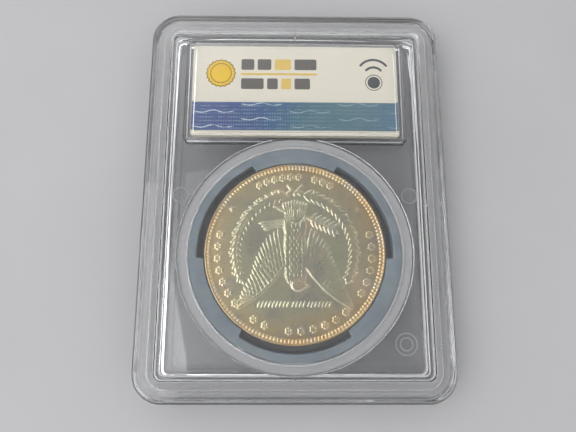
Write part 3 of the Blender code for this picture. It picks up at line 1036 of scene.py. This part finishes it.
def make_label(inks):
    """Print on the label's back: a round seal, bars in place of a name, a wave symbol."""
    left, top = CARD_LOW.x, CARD_HIGH.y
    seal = (left + 6.3, top - 6.7)
    printed("print_seal_edge", scalloped(seal, 3.3, 0.12, 20), inks["gold_edge"])
    printed("print_seal", scalloped(seal, 3.0, 0.12, 20), inks["yellow"], layer=1)
    ring_print("print_seal_ring", seal, 2.35, 0.2, inks["gold_edge"], 2)

    name_left, name_top = left + 10.9, top - 3.2
    bars = [(0.0, 2.9, 0, "grey"), (3.7, 6.8, 0, "grey"), (7.6, 11.3, 0, "gold")]
    bars += [(12.1, 17.1, 0, "grey"), (0.0, 5.1, 1, "grey"), (5.9, 8.3, 1, "grey")]
    bars += [(9.1, 11.3, 1, "gold"), (12.1, 15.6, 1, "grey")]
    for number, (start, end, row, shade) in enumerate(bars):
        high = name_top - 4.7 * row
        outline = flat_box(name_left + start, name_left + end, high - 2.6, high, 0.35)
        printed(f"print_bar_{number}", outline, inks[shade])
    rule_y = name_top - 3.65
    rule = flat_box(name_left - 0.1, name_left + 17.2, rule_y - 0.26, rule_y + 0.26, 0.24)
    printed("print_rule", rule, inks["gold"])

    wave_x = left + 41.0
    outer_arc = flat_arc((wave_x, top - 6.8), 3.7, 0.52, 38, 142)
    inner_arc = flat_arc((wave_x, top - 7.2), 2.25, 0.52, 42, 138)
    printed("print_wave_outer", outer_arc, inks["dark"])
    printed("print_wave_inner", inner_arc, inks["dark"])
    dot = (wave_x, top - 8.7)
    printed("print_wave_dot", [(x, y) for x, y, _ in circle(1.42, 0, dot, 64)], inks["dark"])
    ring_print("print_wave_ring", dot, 1.86, 0.18, inks["dark"], 0)


def make_front_print(inks):
    """Print on the label's front: rows of bars in place of the description, and a striped block.

    Seen from the front, x runs to the left, so distances along the card are taken from its high side.
    """
    right, top = CARD_HIGH.x, CARD_HIGH.y
    start = 3.0
    rows = [(17.0, 2.6, 1.9), (12.5, 6.2, 1.9), (20.0, 9.8, 1.5), (15.0, 12.8, 1.2)]
    for number, (end, drop, height) in enumerate(rows):
        outline = flat_box(right - end, right - start, top - drop - height, top - drop, 0.3)
        printed(f"front_bar_{number}", outline, inks["dark"], -1)
    position, gap = right - 25.0, 0.5
    widths = (0.5, 0.25, 0.75, 0.25, 0.35, 0.6, 0.25, 0.5, 0.9, 0.25, 0.4, 0.7, 0.25, 0.5, 0.3, 0.8)
    for number, width in enumerate(widths):
        outline = flat_box(position - width, position, top - 11.5, top - 3.0, 0.04)
        printed(f"front_stripe_{number}", outline, inks["dark"], -1)
        position -= width + gap
    band = flat_box(CARD_LOW.x + 0.6, right - 0.6, CARD_LOW.y + 1.0, CARD_LOW.y + 5.2, 0.3)
    printed("front_band", band, inks["blue"], -1)


def finish_cad_pieces(card, foil, inks):
    """Gives the CAD's own flat pieces, whose shapes are right, their finishes."""
    finishes = {
        "label_rear_card": card,
        "label_front_card": card,
        "security_strip": foil,
        "tag_film": inks["film"],
        "tag_antenna": inks["foil"],
        "tag_chip": inks["chip"],
    }
    for node, material in finishes.items():
        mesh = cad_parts[node].data
        mesh.materials.clear()
        mesh.materials.append(material)


# ---------------------------------------------------------------- stage


FLOOR_SIZE = 1.5


def make_floor():
    bpy.ops.mesh.primitive_plane_add(size=FLOOR_SIZE, location=(0, 0, 0))
    floor = bpy.context.object
    floor.name = "floor"
    floor.data.materials.append(floor_material())


# Level of the sky by the sine of the height above the horizon: 0 at the horizon and 1 overhead.
SKY_STRENGTH = 3.4
LEFT_SKY = [(0.0, 0.24), (0.15, 0.20), (0.35, 0.22), (0.62, 0.80)]
LEFT_SKY += [(0.83, 0.54), (0.91, 0.19), (1.0, 0.16)]
RIGHT_SKY = [(0.0, 0.28), (0.15, 0.34), (0.35, 0.42), (0.65, 0.38)]
RIGHT_SKY += [(0.84, 0.20), (0.92, 0.16), (1.0, 0.16)]


def make_world():
    """A studio sky: dim overhead, where the camera is, with a tall soft window to the left."""
    world = bpy.data.worlds.new("studio")
    bpy.context.scene.world = world
    world.use_nodes = True
    tree = world.node_tree
    background = tree.nodes["Background"]
    coordinates = tree.nodes.new("ShaderNodeTexCoord")
    split = tree.nodes.new("ShaderNodeSeparateXYZ")
    tree.links.new(coordinates.outputs["Generated"], split.inputs[0])
    blend = tree.nodes.new("ShaderNodeMix")
    blend.data_type = "RGBA"
    for socket, sky in ((6, LEFT_SKY), (7, RIGHT_SKY)):
        ramp = tree.nodes.new("ShaderNodeValToRGB")
        elements = ramp.color_ramp.elements
        while len(elements) < len(sky):
            elements.new(0.5)
        for element, (place, level) in zip(elements, sky):
            element.position = place
            element.color = (level, level, level * 1.01, 1.0)
        tree.links.new(split.outputs[2], ramp.inputs["Fac"])
        tree.links.new(ramp.outputs["Color"], blend.inputs[socket])
    side = tree.nodes.new("ShaderNodeMapRange")
    side.interpolation_type = "SMOOTHSTEP"
    side.inputs["From Min"].default_value = -0.45
    side.inputs["From Max"].default_value = 0.35
    tree.links.new(split.outputs[0], side.inputs["Value"])
    tree.links.new(side.outputs[0], blend.inputs[0])
    tree.links.new(blend.outputs[2], background.inputs["Color"])
    background.inputs["Strength"].default_value = SKY_STRENGTH


def make_area(name, place, size, power):
    light = bpy.data.lights.new(name, "AREA")
    light.shape = "RECTANGLE"
    light.size, light.size_y = size
    light.energy = power
    lamp = bpy.data.objects.new(name, light)
    bpy.context.scene.collection.objects.link(lamp)
    lamp.location = place
    aim = -lamp.location
    lamp.rotation_euler = aim.to_track_quat("-Z", "Y").to_euler()


def make_camera():
    """Almost straight above the slab, a little towards the coin's end and tilted to the label."""
    camera = bpy.data.cameras.new("camera")
    camera.sensor_width = 36.0
    camera.lens = 27.04
    camera.clip_start = 0.001
    eye = bpy.data.objects.new("camera", camera)
    bpy.context.scene.collection.objects.link(eye)
    eye.location = (-0.0025, -0.0211, SEAM_Z / M_TO_MM + 0.0919)
    eye.rotation_euler = [math.radians(a) for a in (10.48, -0.66, 0.14)]
    bpy.context.scene.camera = eye


def main():
    plastics = [
        clear_plastic(),
        frosted_plastic("frosted_polystyrene", 0.60, False),
        frosted_plastic("satin_polystyrene", 0.86, True),
    ]
    rear_weld = (GROOVE_OUTER, GROOVE_INNER, GROOVE_HEIGHT)
    front_weld = (TONGUE_OUTER, TONGUE_INNER, -TONGUE_HEIGHT)
    make_shell("rear_shell", 1, rear_section(), rear_weld, plastics)
    make_shell("front_shell", -1, front_section(), front_weld, plastics)
    make_gasket(gasket_material())
    make_coin(silver())
    inks = {
        "yellow": ink("ink_yellow", (0.96, 0.61, 0.001), (1.0, 0.65, 0.002)),
        "gold_edge": ink("ink_old_gold", (0.34, 0.19, 0.008), (0.40, 0.23, 0.012)),
        "gold": ink("ink_gold", (0.86, 0.60, 0.12), (0.92, 0.66, 0.16)),
        "grey": ink("ink_grey", (0.125, 0.112, 0.10), (0.15, 0.135, 0.12)),
        "dark": ink("ink_dark", (0.065, 0.07, 0.076), (0.085, 0.09, 0.096)),
        "blue": ink("ink_blue", (0.03, 0.08, 0.22), (0.04, 0.10, 0.26)),
        "film": ink("tag_film_plastic", (0.75, 0.76, 0.74), (0.80, 0.81, 0.79), 0.2),
        "foil": ink("antenna_foil", (0.78, 0.79, 0.80), (0.84, 0.85, 0.86), 0.3, 1.0),
        "chip": ink("chip_epoxy", (0.012, 0.012, 0.013), (0.02, 0.02, 0.022), 0.5),
    }
    finish_cad_pieces(card_material(), security_foil(), inks)
    make_label(inks)
    make_front_print(inks)
    make_floor()
    make_world()
    make_area("key", (-0.55, -0.14, 0.45), (0.6, 0.9), 3.4)
    make_camera()
    bpy.context.scene.view_settings.view_transform = "Standard"


main()
